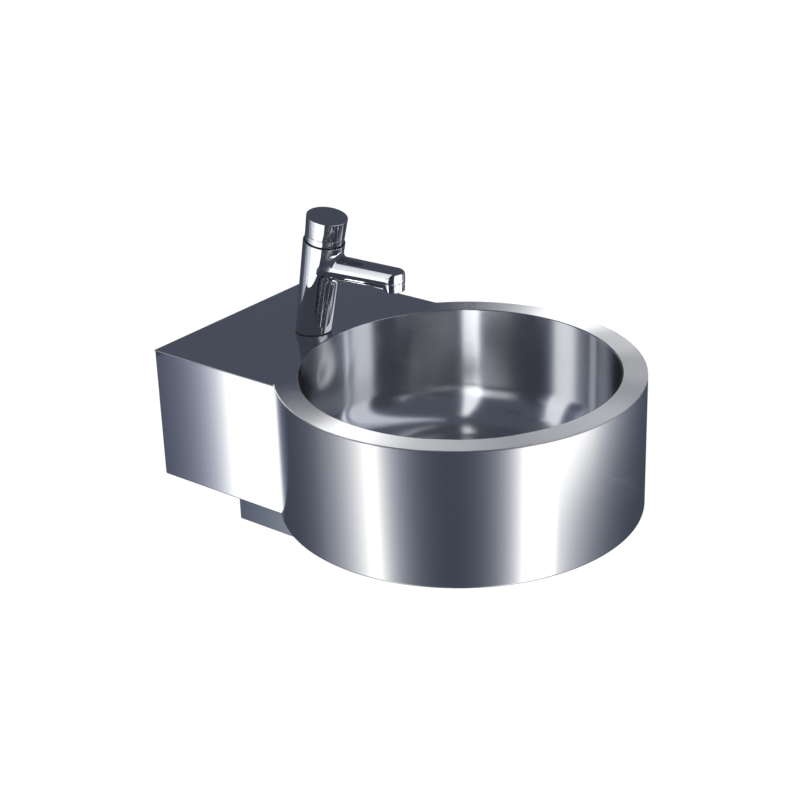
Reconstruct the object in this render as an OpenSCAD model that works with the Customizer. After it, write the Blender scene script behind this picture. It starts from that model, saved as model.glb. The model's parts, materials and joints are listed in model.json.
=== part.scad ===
// Wall-hung stainless steel wash basin: a round drum bowl in front of a square
// tap deck, a leaning self-closing push tap and a cover round the waste bend.
// Millimetres. The wall is the plane y = 0, the basin stands out towards -Y, and
// the origin is the middle of the wall bolts, under the rim by bolt_drop.

/* [Basin body] */
// Outer diameter of the round drum
drum_d = 350; // [320:1:380]
// Width of the flat rim between the drum and the bowl opening
rim_w = 22.5; // [18:0.5:30]
// Height of the body from the rim to the bottom edge
body_h = 134.5; // [120:0.5:160]
// Width of the square tap deck
deck_w = 252; // [236:1:280]
// Projection from the wall to the front of the drum
depth = 450; // [440:1:480]
// Thickness of the deck, apron and side sheets
sheet = 1.5; // [1:0.1:2]
// Width of the return along the bottom edges
return_w = 15; // [12:0.5:18]
// Width of the side sheets' return that lies on the wall
wall_return_w = 22; // [15:0.5:26]

/* [Bowl] */
// Thickness of the spun bowl
bowl_sheet = 1.2; // [0.8:0.1:1.6]
// Radius between the bowl's wall and its floor
bowl_corner_r = 42; // [25:1:55]
// Fall of the bowl's floor towards the waste
floor_fall = 2; // [1:0.5:4]
// Depth of the seat that the grate lies in
seat_depth = 3; // [2.5:0.5:5]
// Gap between the bowl's lowest point and the base plate
bowl_clear = 7; // [4:0.5:12]

/* [Fixing] */
// Distance from the rim down to the middle of the wall bolts
bolt_drop = 55; // [50:1:65]
// Spacing of the wall bolts across
bolt_dx = 150; // [130:1:160]
// Spacing of the wall bolts up and down
bolt_dz = 40; // [30:1:44]
// Diameter of the wall bolt holes
bolt_hole_d = 9; // [7:0.5:11]
// Thickness of the wall bracket
bracket_t = 3; // [2:0.5:4]
// Width of the wall bracket
bracket_w = 190; // [182:1:196]
// Distance of the bracket's hook from the wall
hook_out = 13; // [11:0.5:18]
// Thickness of the hanger rail welded in the basin
rail_t = 2; // [1.5:0.1:3]

/* [Base plate and waste cover] */
// Thickness of the base plate and the waste cover
cover_sheet = 1.2; // [0.8:0.1:1.6]
// Width of the waste cover
cover_w = 180; // [160:1:186]
// Distance from the wall to the open back of the cover
cover_back = 65; // [50:1:80]
// Width of the cover's fixing flange
cover_flange_w = 12; // [10:0.5:13]
// Gap between the waste bend and the cover's floor
cover_clear = 7; // [5:0.2:20]

/* [Waste] */
// Outer diameter of the waste pipe
pipe_d = 32; // [28:1:34]
// Wall of the waste pipe
pipe_wall = 1.2; // [0.8:0.1:2]
// Diameter of the grate
grate_d = 69; // [64:0.5:76]
// Number of slots in the grate
grate_slots = 8; // [5:1:9]
// Width of a grate slot
slot_w = 4.5; // [3:0.5:5.5]

/* [Tap] */
// Distance from the bowl opening back to the tap hole
tap_set = 26.5; // [25:0.5:34]
// Lean of the tap towards the bowl, in degrees
tap_lean = 11.5; // [4:0.5:14]
// Diameter of the tap body at the top
tap_d = 41.4; // [41:0.4:45]
// Diameter of the tap body at the foot
foot_d = 35.6; // [34:0.4:41]
// Length of the tap from the deck to the top of its push cap
tap_h = 125.4; // [122:0.2:140]
// Diameter of the push cap at its bottom
cap_d = 38.8; // [37.2:0.4:40]
// Diameter of the push cap at its top
cap_top_d = 40.4; // [38:0.4:42]
// Height of the push cap
cap_h = 19.2; // [18:0.2:24]
// Height of the skirt ring that shows under the cap
skirt_show = 7; // [6.5:0.5:9]
// Travel of the push cap
cap_travel = 6; // [4:0.5:6]
// Diameter of the spout where it leaves the body
spout_d = 25; // [22:0.5:27]
// Diameter of the spout at its end
nose_d = 22; // [21.4:0.2:24]
// Distance from the tap hole to the middle of the outlet
spout_reach = 103.6; // [90:0.2:120]
// Height of the spout's end above the deck
spout_z = 75; // [72:0.5:76]
// Rise of the spout towards its end, in degrees
spout_rise = 2.3; // [0:0.1:3]
// Diameter of the aerator
aerator_d = 21; // [20:0.5:22]
// Height of the aerator's ring
aerator_show = 8.6; // [6:0.2:10]
// Diameter of the tap's threaded shank
shank_d = 20.96; // [18:0.02:22]
// Length of the shank under the deck
shank_l = 46; // [40:1:55]

/* [Hidden] */

$fn = 96;
cut = 1;          // overrun of every cut
gap = 0.3;        // gap between pieces that move or hook together
slip = 0.1;       // radial clearance of a spigot in its socket

// basin body
drum_r = drum_d / 2;
opening_r = drum_r - rim_w;
drum_y = drum_r - depth;
rim_z = bolt_drop;
under_z = rim_z - sheet;
bottom_z = rim_z - body_h;
side_x = deck_w / 2;
panel_l = -drum_y - sqrt(drum_r * drum_r - side_x * side_x);

// bowl, measured down from the rim
seat_under = body_h - bowl_clear;
seat_top = seat_under - bowl_sheet;
floor_low = seat_top - seat_depth;
floor_high = floor_low - floor_fall;
seat_side_gap = 1.5;
seat_r = grate_d / 2 + seat_side_gap;
dish_r_share = 0.65;
dish_r = grate_d / 2 * dish_r_share;
outlet_gap = 1.5;
outlet_r = dish_r + outlet_gap;

// tap place and spout
tap_y = drum_y + opening_r + tap_set;
outlet_y = tap_y - spout_reach;
spout_r = spout_d / 2;
nose_r = nose_d / 2;

module on_drum(z = 0) translate([0, drum_y, z]) children();
module both_sides() for (s = [0, 1]) mirror([s, 0, 0]) children();

// The plan of the drum and the deck behind it, drawn with a margin all round
module basin_plan(inset) {
    translate([0, drum_y]) circle(drum_r - inset);
    translate([inset - side_x, drum_y]) square([deck_w - inset * 2, -drum_y]);
}

// The space between the two side sheets, behind the drum's middle
module deck_inside(low, high)
    translate([sheet - side_x, drum_y, low])
        cube([deck_w - sheet * 2, -drum_y + cut, high - low]);

module deck_plate() color("silver") difference() {
    translate([0, 0, under_z]) linear_extrude(sheet) difference() {
        basin_plan(0);
        translate([0, drum_y]) circle(opening_r);
        translate([0, tap_y]) circle(tap_hole_r);
    }
}

// The apron is a ring left open where the deck joins, with a return at its bottom
module drum_apron() color("silver") difference() {
    on_drum(bottom_z) cylinder(r = drum_r, h = body_h - sheet);
    on_drum(bottom_z + sheet) cylinder(r = drum_r - sheet, h = body_h);
    on_drum(bottom_z - cut) cylinder(r = drum_r - return_w, h = body_h);
    deck_inside(bottom_z - cut, rim_z);
    base_screw_places() cylinder(r = screw_hole_r, h = screw_reach, center = true);
}

module right_side_panel() color("silver") difference() {
    union() {
        translate([side_x - sheet, drum_y, bottom_z])
            cube([sheet, -drum_y, body_h - sheet]);
        translate([side_x - return_w, drum_y, bottom_z])
            cube([return_w, -drum_y, sheet]);
        translate([side_x - wall_return_w, -sheet, bottom_z])
            cube([wall_return_w, sheet, body_h - sheet]);
    }
    on_drum(bottom_z - cut) cylinder(r = drum_r, h = body_h + cut);
    base_screw_places() cylinder(r = screw_hole_r, h = screw_reach, center = true);
}

module left_side_panel() mirror([1, 0, 0]) right_side_panel();

// Half section of the bowl's inside, moved out by a thickness for its outside
module bowl_section(t) {
    r = opening_r - bowl_sheet + t;
    corner = bowl_corner_r + t;
    translate([0, -floor_high - t + corner]) square([r, floor_high + t - corner]);
    translate([0, -floor_high - t]) square([r - corner, floor_high + t]);
    translate([r - corner, -floor_high - t + corner]) circle(corner);
    polygon([[0, 0], [0, -floor_low - t], [seat_r + t, -floor_low - t],
             [r - corner, -floor_high - t], [r - corner, 0]]);
    translate([0, -seat_top - t]) square([seat_r + t, seat_top]);
}

module bowl() color("gainsboro") on_drum(rim_z) difference() {
    rotate_extrude() difference() {
        intersection() {
            bowl_section(bowl_sheet);
            translate([0, -body_h]) square([drum_r, body_h]);
        }
        bowl_section(0);
        translate([0, -cut]) square([opening_r - bowl_sheet, cut * 2]);
    }
    translate([0, 0, -seat_under - cut]) cylinder(r = outlet_r, h = body_h);
}

// Wall bracket and hanger rail: a lip on the bracket stands up into the rail's hook
bracket_low = 34;
bracket_top = 32;
lip_h = 17;
lip_top = bracket_top - bracket_t + lip_h;
hook_leg = 12;
rail_low = 29;
lock_x = 70;
lock_z_share = 0.5;
lock_z = bracket_top + (lip_top - bracket_top) * lock_z_share;
lock_r = 2.5;
lock_head_r = 4.6;
lock_head_h = 2.8;
lock_tail = 0.5;

module lock_places() both_sides() translate([lock_x, 0, lock_z]) rotate([90, 0, 0]) children();

module wall_bracket() color("lightsteelblue") difference() {
    translate([-bracket_w / 2, 0, 0]) {
        translate([0, -bracket_t, -bracket_low])
            cube([bracket_w, bracket_t, bracket_low + bracket_top]);
        translate([0, -hook_out, bracket_top - bracket_t])
            cube([bracket_w, hook_out, bracket_t]);
        translate([0, -hook_out, bracket_top - bracket_t])
            cube([bracket_w, bracket_t, lip_h]);
    }
    for (x = [-1, 1], z = [-1, 1])
        translate([x * bolt_dx / 2, cut, z * bolt_dz / 2]) rotate([90, 0, 0])
            cylinder(d = bolt_hole_d, h = bracket_t + cut * 2);
    lock_places() cylinder(r = lock_r + slip, h = hook_out + cut);
}

module hanger_rail() color("lightgray") difference() {
    translate([sheet - side_x, 0, 0]) {
        translate([0, -hook_out - gap - rail_t, rail_low])
            cube([deck_w - sheet * 2, rail_t, under_z - rail_low]);
        translate([0, -hook_out - gap - rail_t, lip_top + gap])
            cube([deck_w - sheet * 2, rail_t * 2 + bracket_t + gap * 2, rail_t]);
        translate([0, -hook_out + bracket_t + gap, lip_top + gap + rail_t - hook_leg])
            cube([deck_w - sheet * 2, rail_t, hook_leg]);
    }
    lock_places() translate([0, 0, hook_out])
        cylinder(r = lock_r + slip, h = rail_t + gap + cut);
}

module lock_screws() color("dimgray") lock_places()
    translate([0, 0, hook_out - bracket_t]) difference() {
        union() {
            cylinder(r = lock_r, h = bracket_t + gap + rail_t + lock_tail);
            translate([0, 0, bracket_t + gap + rail_t])
                cylinder(r = lock_head_r, h = lock_head_h);
        }
        translate([0, 0, bracket_t + gap + rail_t + lock_head_h / 2])
            cylinder(r = lock_r, h = lock_head_h, $fn = 6);
    }

// Small pan-head screws under the base plate and the cover
screw_r = 1.9;
screw_hole_r = 2.1;
screw_l = 7;
screw_reach = 20;
screw_head_r = 3.6;
screw_head_h = 2;
// From the free edge of a bottom return to the middle of its screws
screw_seat = 5;
screw_slot_share = 0.33;
drum_screw_angles = [-150, -120, -90, -60, -30];
panel_screw_share = 0.4;
cover_screw_gap = 18;
cover_arc_angles = [-135, -45];

module base_screw_places() {
    on_drum(bottom_z) for (a = drum_screw_angles) rotate([0, 0, a])
        translate([drum_r - return_w + screw_seat, 0, 0]) children();
    y = -cover_back - (panel_l - cover_back) * panel_screw_share;
    both_sides() translate([side_x - return_w + screw_seat, y, bottom_z]) children();
}

module cover_screw_places() {
    r = cover_w / 2 + cover_flange_w / 2;
    on_drum(bottom_z) for (a = cover_arc_angles) rotate([0, 0, a])
        translate([r, 0, 0]) children();
    both_sides() for (y = [-cover_back - cover_screw_gap, drum_y])
        translate([r, y, bottom_z]) children();
}

module pan_screw() difference() {
    union() {
        cylinder(r = screw_r, h = screw_l);
        translate([0, 0, -screw_head_h]) cylinder(r = screw_head_r, h = screw_head_h);
    }
    for (a = [0, 90]) rotate([0, 0, a])
        translate([0, 0, -screw_head_h])
            cube([screw_head_r, screw_head_h * screw_slot_share, screw_head_h], center = true);
}

// Plan of the cover: half round under the bowl, straight sides to its open back
module cover_plan(r) {
    translate([0, drum_y]) circle(r);
    translate([-r, drum_y]) square([r * 2, -drum_y - cover_back]);
}

base_inset = 3;
plate_hole_inset = 4;

module base_plate() color("lightgray") difference() {
    translate([0, 0, bottom_z - cover_sheet]) linear_extrude(cover_sheet) difference() {
        intersection() {
            basin_plan(base_inset);
            translate([-depth, -depth * 2]) square([depth * 2, depth * 2 - cover_back]);
        }
        cover_plan(cover_w / 2 - plate_hole_inset);
        translate([plate_hole_inset - cover_w / 2, drum_y])
            square([cover_w - plate_hole_inset * 2, -drum_y]);
    }
    base_screw_places() cylinder(r = screw_hole_r, h = screw_reach, center = true);
    cover_screw_places() cylinder(r = screw_hole_r, h = screw_reach, center = true);
}

module base_screws() color("gray") base_screw_places()
    translate([0, 0, -cover_sheet]) pan_screw();

module cover_screws() color("gray") cover_screw_places()
    translate([0, 0, -cover_sheet * 2]) pan_screw();

// Waste, measured down from the rim
gasket_t = 1;
bend_gasket_t = 2;
grate_t = 1.2;
dish_depth = 5;
bend_flange_t = 3;
bend_wall = 3;
pipe_r = pipe_d / 2;
spigot_bore = pipe_r + gap;
spigot_r = spigot_bore + bend_wall;
bend_top = seat_under + bend_gasket_t;
bend_step = 1.5;
pipe_axis = bend_top + bend_flange_t + spigot_r + bend_step;
bend_low = pipe_axis + spigot_r + bend_step;
chamber_gap = 2;
chamber_r = dish_r + chamber_gap;
spigot_l = 62;
pipe_start = 40;
seal_l = 3;
nut_wall = 4.5;
nut_r = spigot_r + nut_wall;
nut_lip = 3;
nut_end = spigot_l + seal_l + nut_lip;
pipe_step = 0.4;
bridge_w = 11;
bridge_h = 7;
bridge_gap = 2.5;
grate_top = seat_top - gasket_t - grate_t;
dish_low = grate_top + dish_depth + grate_t;
grate_screw_r = 2.9;
grate_head_r = 6;
grate_head_h = 2.6;
grate_slot_w = 1.3;
grate_screw_l = dish_depth + bridge_gap + bridge_h + grate_t * 2;
slot_ring_share = 0.62;
slot_len_share = 0.42;

module cover_shell_z(low, high)
    translate([0, 0, rim_z - low]) linear_extrude(low - high) children();

cover_top = body_h + cover_sheet;
cover_low = bend_low + cover_clear + cover_sheet;

module waste_cover() color("darkgray") difference() {
    union() {
        cover_shell_z(cover_low, cover_top) cover_plan(cover_w / 2);
        cover_shell_z(cover_top + cover_sheet, cover_top) cover_plan(cover_w / 2 + cover_flange_w);
    }
    cover_shell_z(cover_low - cover_sheet, cover_top - cut) {
        cover_plan(cover_w / 2 - cover_sheet);
        translate([cover_sheet - cover_w / 2, drum_y]) square([cover_w - cover_sheet * 2, -drum_y]);
    }
    cover_screw_places() cylinder(r = screw_hole_r, h = screw_reach, center = true);
}

module grate() color("whitesmoke") on_drum(rim_z) difference() {
    rotate_extrude() difference() {
        union() {
            translate([0, -grate_top - grate_t]) square([grate_d / 2, grate_t]);
            translate([0, -dish_low]) square([dish_r, dish_low - grate_top]);
        }
        translate([0, -dish_low + grate_t]) square([dish_r - grate_t, dish_low]);
    }
    for (i = [0 : grate_slots - 1]) rotate([0, 0, i * 360 / grate_slots])
        translate([dish_r * slot_ring_share, 0, -dish_low - cut]) {
            l = dish_r * slot_len_share - slot_w / 2;
            translate([-l / 2, -slot_w / 2, 0]) cube([l, slot_w, grate_t + cut * 2]);
            for (e = [-l / 2, l / 2]) translate([e, 0, 0]) cylinder(d = slot_w, h = grate_t + cut * 2);
        }
    translate([0, 0, -dish_low - cut]) cylinder(r = grate_screw_r + gap, h = grate_t + cut * 2);
}

module grate_screw() color("gray") on_drum(rim_z - dish_low + grate_t) difference() {
    union() {
        translate([0, 0, -grate_screw_l]) cylinder(r = grate_screw_r, h = grate_screw_l);
        cylinder(r = grate_head_r, h = grate_head_h);
    }
    translate([-grate_head_r, -grate_slot_w / 2, grate_head_h / 2])
        cube([grate_head_r * 2, grate_slot_w, grate_head_h]);
}

module ring(outer, inner, h) difference() {
    cylinder(r = outer, h = h);
    translate([0, 0, -cut]) cylinder(r = inner, h = h + cut * 2);
}

module grate_gasket() color("black") on_drum(rim_z - seat_top)
    ring(grate_d / 2, outlet_r, gasket_t);

module bend_gasket() color("black") on_drum(rim_z - bend_top)
    ring(grate_d / 2, outlet_r, bend_gasket_t);

// Runs along the waste pipe, from the middle of the bowl towards the wall
module along_pipe(y = 0) translate([0, drum_y + y, rim_z - pipe_axis]) rotate([-90, 0, 0]) children();

module waste_bend() color("white") {
    difference() {
        union() {
            on_drum(rim_z - bend_low) cylinder(r = chamber_r + bend_wall, h = bend_low - bend_top);
            on_drum(rim_z - bend_top - bend_flange_t) cylinder(d = grate_d, h = bend_flange_t);
            along_pipe() cylinder(r = spigot_r, h = spigot_l);
        }
        on_drum(rim_z - bend_low + bend_wall) cylinder(r = chamber_r, h = bend_low);
        along_pipe() cylinder(r = pipe_r - pipe_wall, h = spigot_l);
        along_pipe(pipe_start) cylinder(r = spigot_bore, h = spigot_l);
    }
    on_drum(rim_z - dish_low - bridge_gap - bridge_h) difference() {
        translate([-chamber_r - bend_wall / 2, -bridge_w / 2, 0])
            cube([chamber_r * 2 + bend_wall, bridge_w, bridge_h]);
        translate([0, 0, -cut]) cylinder(r = grate_screw_r + slip, h = bridge_h + cut * 2);
    }
}

// The pipe's end is a little slimmer where it lies in the nut and the bend
module waste_pipe() color("white") along_pipe() difference() {
    union() {
        translate([0, 0, pipe_start + gap])
            cylinder(r = pipe_r - pipe_step, h = -drum_y - pipe_start - gap);
        translate([0, 0, nut_end + gap]) cylinder(r = pipe_r, h = -drum_y - nut_end - gap);
    }
    translate([0, 0, pipe_start]) cylinder(r = pipe_r - pipe_wall, h = -drum_y);
}

module pipe_seal() color("black") along_pipe(spigot_l)
    ring(spigot_r, pipe_r - pipe_step + slip, seal_l);

// The nut's collar reaches over the bend's spigot, with six grip lugs
nut_back = 14;
nut_lugs = 6;
lug_r = 2.4;
module pipe_nut() color("white") along_pipe(spigot_l - nut_back) difference() {
    union() {
        cylinder(r = nut_r, h = nut_back + seal_l + nut_lip);
        for (i = [1 : nut_lugs]) rotate([0, 0, i * 360 / nut_lugs])
            translate([nut_r, 0, 0]) cylinder(r = lug_r, h = nut_back + seal_l + nut_lip);
    }
    translate([0, 0, -cut]) cylinder(r = spigot_r + slip, h = nut_back + seal_l + cut);
    translate([0, 0, -cut]) cylinder(r = pipe_r + gap, h = nut_back + seal_l + nut_lip + cut * 2);
}

// Tap fixing under the deck
stiffener_t = 3;
stiffener_w = 84;
stiffener_gap = 2.5;
tap_hole_gap = 1;
tap_hole_r = shank_d / 2 + tap_hole_gap;
foot_gasket_t = 1;
socket_h = 12;
shank_wall = 3.4;
neck_step = 0.2;
neck_r = shank_d / 2 - neck_step;
washer_t = 2;
washer_r = 18;
backnut_r = 17.3;
backnut_h = 9;
under_stack = sheet + stiffener_t + washer_t + backnut_h;
foot_cut_h = 48;

module on_tap(z = 0) translate([0, tap_y, rim_z + z]) children();

module tap_stiffener() color("lightgray") on_tap(-sheet - stiffener_t) difference() {
    translate([-stiffener_w / 2, stiffener_gap - tap_set, 0])
        cube([stiffener_w, (tap_set - stiffener_gap) * 2, stiffener_t]);
    translate([0, 0, -cut]) cylinder(r = tap_hole_r, h = stiffener_t + cut * 2);
}

// The shank is full size under its back nut and a little slimmer from there up
module tap_shank() color("goldenrod") on_tap(-shank_l) difference() {
    union() {
        cylinder(r = neck_r, h = shank_l + foot_gasket_t + socket_h - gap);
        cylinder(r = shank_d / 2, h = shank_l - under_stack - gap);
    }
    translate([0, 0, -cut]) cylinder(r = shank_d / 2 - shank_wall, h = shank_l * 2);
}

module base_gasket() color("black") on_tap() ring(foot_d / 2, shank_d / 2 + slip, foot_gasket_t);

module tap_washer() color("black") on_tap(-sheet - stiffener_t - washer_t)
    ring(washer_r, shank_d / 2 + slip, washer_t);

module tap_backnut() color("goldenrod") on_tap(-under_stack)
    difference() {
        cylinder(r = backnut_r, h = backnut_h, $fn = 6);
        translate([0, 0, -cut]) cylinder(r = neck_r + slip, h = backnut_h + cut * 2);
    }

// Tap, measured up its leaning axis from the deck
cap_r = cap_d / 2;
cap_top_r = cap_top_d / 2;
cap_top = tap_h;
cap_low = cap_top - cap_h;
body_top = cap_low - skirt_show;
skirt_in = 2;
well_floor_gap = 3;
well_floor = body_top - skirt_in - cap_travel - well_floor_gap;
skirt_t = 1.6;
skirt_low = body_top - skirt_in;
head_plug_l = 10;
head_flange_t = 3;
head_neck_h = 5;
head_neck_r = 10;
spindle_r = 4;
spindle_low_r = 3;
cartridge_r = 15;
housing_l = 34;
housing_wall = 2.5;
housing_floor = 3;
housing_top = well_floor - head_plug_l;
housing_low = housing_top - housing_l;
chamber_in_r = cartridge_r - housing_wall - slip;
valve_r = 8;
valve_seal_t = 2.2;
valve_washer_t = 2;
valve_head_t = 2;
valve_head_r = 5;
valve_top = housing_low - gap;
valve_low = valve_top - valve_seal_t - valve_washer_t - valve_head_t;
cavity_low = valve_low - cap_travel - 2 * gap;
inlet_r = 6;
edge = 0.6;

module up_tap(u = 0) translate([0, tap_y, rim_z]) rotate([tap_lean, 0, 0])
    translate([0, 0, u]) children();

// Along the spout, from the middle of the outlet back towards the tap
module along_spout() translate([0, outlet_y, rim_z + spout_z])
    rotate([-90 - spout_rise, 0, 0]) children();

module down_outlet(z = 0) translate([0, outlet_y, rim_z + spout_z - z]) children();

module column() rotate_extrude() polygon([
    [0, -socket_h], [foot_d / 2, -socket_h], [foot_d / 2, 0],
    [tap_d / 2, body_top - edge], [tap_d / 2 - edge, body_top], [0, body_top]]);

// A round bar whose end edge is rounded: two of them make the spout's knuckle
knuckle_edge = 8;
module round_bar(r, h) rotate_extrude() {
    square([r - knuckle_edge, r]);
    translate([0, -h]) square([r, h + r - knuckle_edge]);
    translate([r - knuckle_edge, r - knuckle_edge]) intersection() {
        circle(knuckle_edge);
        square(knuckle_edge);
    }
}

aerator_r = aerator_d / 2;
nozzle_l = 2.8;
thread_h = 6;
outlet_wall = 3.2;
outlet_bore = nose_r - outlet_wall;
passage_r = 4;
passage_up = 2.5;

module tap_body() color("silver") difference() {
    union() {
        up_tap() column();
        along_spout() cylinder(r1 = nose_r, r2 = spout_r, h = spout_reach - foot_d / 2);
        intersection() {
            down_outlet() round_bar(nose_r, nozzle_l);
            along_spout() mirror([0, 0, 1]) round_bar(nose_r, nose_r * 2);
        }
        down_outlet(nozzle_l) cylinder(r = nose_r, h = nozzle_l);
    }
    on_tap(foot_gasket_t - foot_cut_h)
        translate([-tap_d, -tap_d, 0]) cube([tap_d * 2, tap_d * 2, foot_cut_h]);
    on_tap(-cut) cylinder(r = neck_r + slip, h = foot_gasket_t + socket_h + cut);
    up_tap() cylinder(r = inlet_r, h = housing_low);
    up_tap(cavity_low) cylinder(r = cartridge_r, h = tap_h);
    up_tap(well_floor) cylinder(r = cap_r + gap, h = tap_h);
    along_spout() translate([0, -passage_up, 0]) cylinder(r = passage_r, h = spout_reach - cartridge_r);
    down_outlet(nozzle_l + cut) cylinder(r = outlet_bore, h = thread_h + gap + cut);
    down_outlet(nozzle_l + aerator_show + nose_r)
        cylinder(r = aerator_r + slip, h = aerator_show + nose_r);
}

seal_groove_h = 2.6;
seal_groove_d = 1.8;
seal_wire_r = 0.8;
head_seal_u = well_floor - head_plug_l / 2;
housing_seal_u = housing_low + housing_floor * 2;

module seal_groove(u) up_tap(u - seal_groove_h / 2)
    ring(cartridge_r + cut, cartridge_r - seal_groove_d, seal_groove_h);

module cartridge_head() color("goldenrod") difference() {
    union() {
        up_tap(well_floor) cylinder(r = cap_r - skirt_t - gap * 2, h = head_flange_t);
        up_tap(housing_top) cylinder(r = cartridge_r - slip, h = head_plug_l);
        up_tap(well_floor) cylinder(r = head_neck_r, h = head_flange_t + head_neck_h);
    }
    up_tap(housing_top - cut) cylinder(r = spindle_r + slip, h = tap_h);
    seal_groove(head_seal_u);
}

port_up = 13.5;
port_u = housing_low + port_up;
port_r = 3;
channel_h = 22;
channel_d = 1.2;

module cartridge_housing() color("ivory") difference() {
    up_tap(housing_low) cylinder(r = cartridge_r - slip, h = housing_l);
    up_tap(housing_low + housing_floor) cylinder(r = chamber_in_r, h = housing_l);
    up_tap(housing_low - cut) cylinder(r = inlet_r - cut, h = housing_l);
    up_tap(port_u - port_r - channel_d) ring(cartridge_r + cut, cartridge_r - channel_d, channel_h);
    for (a = [45 : 90 : 315]) up_tap(port_u) rotate([90, 0, a])
        cylinder(r = port_r, h = cartridge_r * 2);
    seal_groove(housing_seal_u);
}

module cartridge_seals() color("black") for (u = [head_seal_u, housing_seal_u])
    up_tap(u) rotate_extrude() translate([cartridge_r - seal_wire_r - slip, 0]) circle(seal_wire_r, $fn = 24);

// Parts that travel with the push cap
piston_h = 6;
piston_top = housing_top - gap * 2;
piston_lip = 2.5;
piston_seal_w = 1.5;
piston_r = chamber_in_r - gap;
boss_r = 6.5;
boss_low_share = 0.8;
cap_wall = 2.6;
cap_roof = 3.5;
boss_low = cap_low + cap_h * (1 - boss_low_share);
spindle_in = 8;

module push_cap() color("silver") difference() {
    up_tap(cap_low) rotate_extrude() difference() {
        polygon([[0, 0], [cap_r, 0], [cap_top_r, cap_h - edge], [cap_top_r - edge, cap_h], [0, cap_h]]);
        translate([boss_r, -cut]) square([cap_r - cap_wall - boss_r, cap_h - cap_roof + cut]);
        translate([0, -cut]) square([boss_r + cut, boss_low - cap_low + cut]);
    }
    up_tap(boss_low - cut) cylinder(r = spindle_r, h = spindle_in + cut);
}

spigot_up = 5;
module cap_skirt() color("silver") up_tap() rotate_extrude() {
    translate([cap_r - skirt_t, skirt_low]) square([skirt_t, cap_low - skirt_low]);
    translate([cap_r - cap_wall - slip - skirt_t, cap_low - skirt_t])
        square([cap_wall + slip + skirt_t, skirt_t]);
    translate([cap_r - cap_wall - slip - skirt_t, cap_low - skirt_t])
        square([skirt_t, skirt_t + spigot_up]);
}

module spindle() color("lightgray") up_tap() rotate_extrude() {
    translate([0, piston_top]) square([spindle_r, boss_low + spindle_in - piston_top]);
    translate([0, valve_low]) square([spindle_low_r, piston_top - valve_low + cut]);
    translate([0, valve_low]) square([valve_head_r, valve_head_t]);
}

module piston() color("ivory") up_tap(piston_top - piston_h) difference() {
    union() {
        cylinder(r = piston_r - piston_seal_w, h = piston_h);
        translate([0, 0, piston_h - piston_lip]) cylinder(r = piston_r, h = piston_lip);
    }
    translate([0, 0, -cut]) cylinder(r = spindle_low_r, h = piston_h + cut * 2);
}

module piston_seal() color("black") up_tap(piston_top - piston_h)
    ring(piston_r + gap / 2, piston_r - piston_seal_w, piston_h - piston_lip);

module valve_washer() color("lightgray") up_tap(valve_low + valve_head_t)
    ring(valve_r, spindle_low_r, valve_washer_t);

module valve_seal() color("black") up_tap(valve_low + valve_head_t + valve_washer_t)
    ring(valve_r, spindle_low_r, valve_seal_t);

// The spring is one wire swept up a helix round the spindle
spring_r = 8.2;
wire_r = 0.75;
spring_turns = 6;
wire_sides = 8;
turn_steps = 24;
spring_low = well_floor + head_flange_t + head_neck_h + gap + wire_r;
spring_high = cap_top - cap_roof - gap - wire_r;
spring_rings = spring_turns * turn_steps;

function coil_point(i, s) = let (
        turn = 360 * i / turn_steps,
        around = 360 * s / wire_sides,
        r = spring_r + wire_r * cos(around),
        z = spring_low + (spring_high - spring_low) * i / spring_rings)
    [r * cos(turn), r * sin(turn), z + wire_r * sin(around)];

module return_spring() color("silver") up_tap() polyhedron(
    points = [for (i = [0 : spring_rings], s = [0 : wire_sides - 1]) coil_point(i, s)],
    faces = concat(
        [[for (s = [0 : wire_sides - 1]) s]],
        [for (i = [0 : spring_rings - 1], s = [0 : wire_sides - 1], half = [0, 1])
            let (a = i * wire_sides + s,
                 b = i * wire_sides + (s + 1) % wire_sides)
            half == 0 ? [a, a + wire_sides, b] : [b, a + wire_sides, b + wire_sides]],
        [[for (s = [wire_sides - 1 : -1 : 0]) spring_rings * wire_sides + s]]));

// Aerator in the spout's outlet
aerator_wall = 1.6;
insert_h = 9;
insert_hole_r = 0.7;
insert_rings = 3;
insert_step_share = 0.3;

module aerator_shell() color("silver") down_outlet(nozzle_l + aerator_show) rotate_extrude() difference() {
    union() {
        polygon([[0, 0], [aerator_r - edge, 0], [aerator_r, edge],
                 [aerator_r, aerator_show - edge], [aerator_r - edge, aerator_show], [0, aerator_show]]);
        square([outlet_bore - slip, aerator_show + thread_h]);
    }
    translate([0, -cut]) square([outlet_bore - slip - aerator_wall, aerator_show + thread_h + cut * 2]);
}

insert_r = outlet_bore - slip * 2 - aerator_wall;
module aerator_insert() color("ivory") down_outlet(nozzle_l + aerator_show - edge) difference() {
    cylinder(r = insert_r, h = insert_h);
    translate([0, 0, -cut]) for (k = [0 : insert_rings - 1], a = [0 : 60 / max(1, k) : 359])
        rotate([0, 0, a]) translate([k * insert_r * insert_step_share, 0, 0])
            if (k > 0 || a == 0) cylinder(r = insert_hole_r, h = insert_h + cut * 2, $fn = 16);
}

deck_plate();
drum_apron();
left_side_panel();
right_side_panel();
bowl();
tap_stiffener();
hanger_rail();
wall_bracket();
lock_screws();
base_plate();
base_screws();
waste_cover();
cover_screws();
grate();
grate_screw();
grate_gasket();
bend_gasket();
waste_bend();
pipe_seal();
pipe_nut();
waste_pipe();
tap_body();
tap_shank();
base_gasket();
tap_washer();
tap_backnut();
cartridge_housing();
cartridge_head();
cartridge_seals();
piston();
piston_seal();
spindle();
valve_washer();
valve_seal();
return_spring();
push_cap();
cap_skirt();
aerator_shell();
aerator_insert();
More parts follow.
